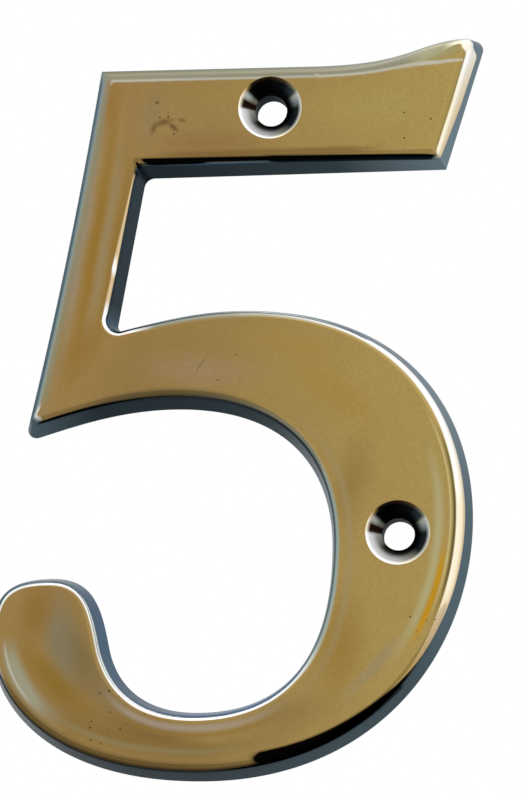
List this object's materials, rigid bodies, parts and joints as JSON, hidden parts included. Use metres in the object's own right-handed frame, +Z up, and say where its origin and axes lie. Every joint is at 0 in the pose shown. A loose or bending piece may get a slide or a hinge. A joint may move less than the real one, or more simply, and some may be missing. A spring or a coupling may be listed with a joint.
{
  "type": "house number",
  "caption": "House number shaped as a five with a ball end and a flared flag, cast flat with drafted sides and a rolled bright face, screwed to a wall through countersunk holes.",
  "frame": {"origin": "middle of the figure's box, on the back face that lies on the wall", "axes": "+Z up the figure, +X to its right as read, +Y into the wall"},
  "size_m": [0.05, 0.004, 0.0753],
  "materials": {
    "bright_plate": "cast, buffed to a mirror on the face, greyer plate left on the flanks"
  },
  "bodies": {
    "root": {"house_number": "bright_plate"}
  },
  "joints": []
}
